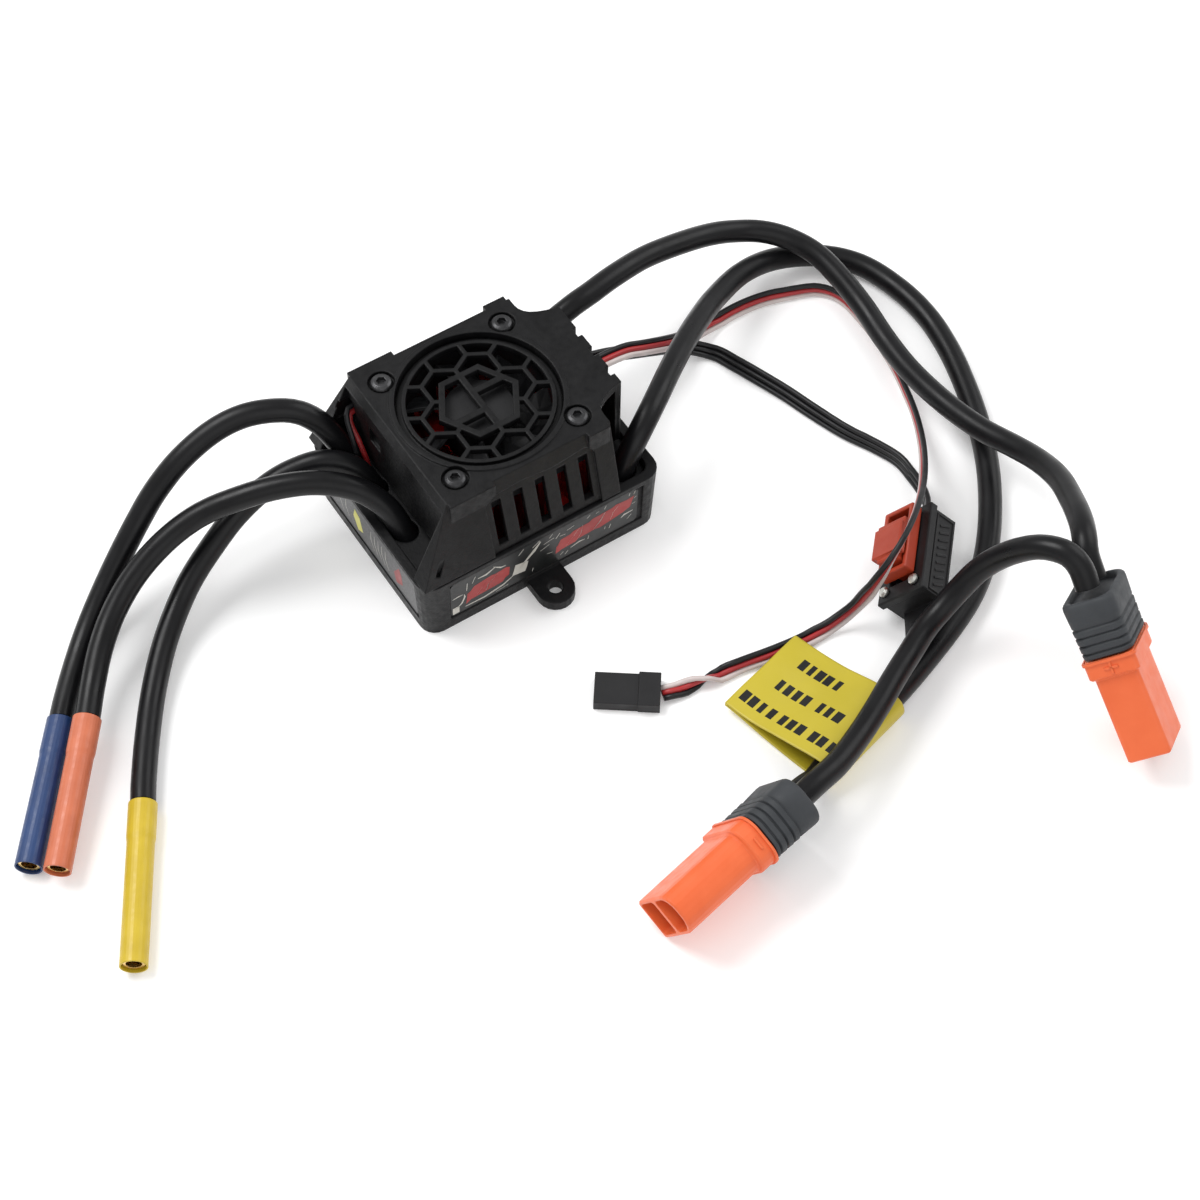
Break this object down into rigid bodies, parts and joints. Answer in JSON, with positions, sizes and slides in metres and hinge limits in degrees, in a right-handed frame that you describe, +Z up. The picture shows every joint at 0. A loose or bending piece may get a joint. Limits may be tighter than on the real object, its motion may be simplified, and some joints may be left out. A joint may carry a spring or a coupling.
{
  "type": "electronic speed controller",
  "caption": "Fan-cooled speed controller for a radio-controlled car, with sleeved motor leads, battery leads ending in bridged connectors, a receiver lead and an on/off switch.",
  "frame": {"origin": "middle of the case's underside", "axes": "+X along the case from the motor-lead end to the battery-lead end, +Y to the back long side, away from the long side with the printed label, +Z up through the fan"},
  "size_m": [0.2396, 0.1663, 0.0373],
  "materials": {
    "case_plastic": "satin black moulded plastic, lightly textured",
    "switch_plastic": "matt black moulded plastic",
    "lead_rubber": "satin black silicone insulation",
    "boot_rubber": "matt dark grey rubber",
    "connector_plastic": "bright orange nylon, slightly glossy",
    "button_plastic": "orange-red plastic, slightly glossy",
    "red_anodised_aluminium": "dark red anodised",
    "circuit_board": "dark green lacquered laminate",
    "black_oxide_steel": "black oxide, satin",
    "zinc_plated_steel": "zinc plated, satin",
    "gold_plated_brass": "gold plated, polished",
    "tinned_copper": "tinned, satin",
    "label_film": "printed film, glossy",
    "yellow_tag_film": "yellow film, semi-gloss",
    "blue_sleeve": "blue heat-shrink, satin",
    "orange_sleeve": "orange heat-shrink, satin",
    "yellow_sleeve": "yellow heat-shrink, satin",
    "red_wire": "red insulation, satin",
    "black_wire": "black insulation, satin"
  },
  "bodies": {
    "controller": {"battery_lead_back": "lead_rubber", "battery_lead_deck": "case_plastic", "battery_lead_front": "lead_rubber", "battery_terminal_back": "tinned_copper", "battery_terminal_front": "tinned_copper", "bullet_socket_blue": "gold_plated_brass", "bullet_socket_orange": "gold_plated_brass", "bullet_socket_yellow": "gold_plated_brass", "capacitor_front": "switch_plastic", "capacitor_middle": "switch_plastic", "end_label": "label_film", "fan_frame": "switch_plastic", "fan_guard": "case_plastic", "fan_header": "switch_plastic", "fan_shroud": "case_plastic", "fan_wire_black": "black_wire", "fan_wire_red": "red_wire", "flat_plug_boot": "boot_rubber", "flat_plug_contact_negative": "gold_plated_brass", "flat_plug_contact_positive": "gold_plated_brass", "flat_plug_housing": "connector_plastic", "front_label": "label_film", "heatsink": "red_anodised_aluminium", "jumper_lead": "lead_rubber", "lower_case": "case_plastic", "motor_lead_blue": "lead_rubber", "motor_lead_deck": "case_plastic", "motor_lead_orange": "lead_rubber", "motor_lead_yellow": "lead_rubber", "motor_terminal_blue": "tinned_copper", "motor_terminal_orange": "tinned_copper", "motor_terminal_yellow": "tinned_copper", "power_board": "circuit_board", "raised_plug_boot": "boot_rubber", "raised_plug_contact_negative": "gold_plated_brass", "raised_plug_contact_positive": "gold_plated_brass", "raised_plug_housing": "connector_plastic", "receiver_lead": "black_wire", "receiver_plug": "switch_plastic", "shroud_screw_back_left": "black_oxide_steel", "shroud_screw_back_right": "black_oxide_steel", "shroud_screw_front_left": "black_oxide_steel", "shroud_screw_front_right": "black_oxide_steel", "signal_header": "switch_plastic", "sleeve_blue": "blue_sleeve", "sleeve_orange": "orange_sleeve", "sleeve_yellow": "yellow_sleeve", "switch_bezel": "button_plastic", "switch_body": "switch_plastic", "switch_lead": "black_wire", "switch_plate": "switch_plastic", "switch_screw_lower": "zinc_plated_steel", "switch_screw_upper": "zinc_plated_steel", "warning_tag": "yellow_tag_film"},
    "fan_rotor": {"fan_rotor": "switch_plastic"},
    "switch_button": {"switch_button": "button_plastic"}
  },
  "joints": [
    {"name": "fan_spin", "type": "hinge", "parent": "controller", "child": "fan_rotor", "pos_m": [-0.00075, 0, 0.03], "axis": [0, 0, 1], "continuous": true},
    {"name": "switch_slide", "type": "slide", "parent": "controller", "child": "switch_button", "axis": [-0.6816, -0.7317, 0], "range_m": [-0.003, 0]}
  ]
}
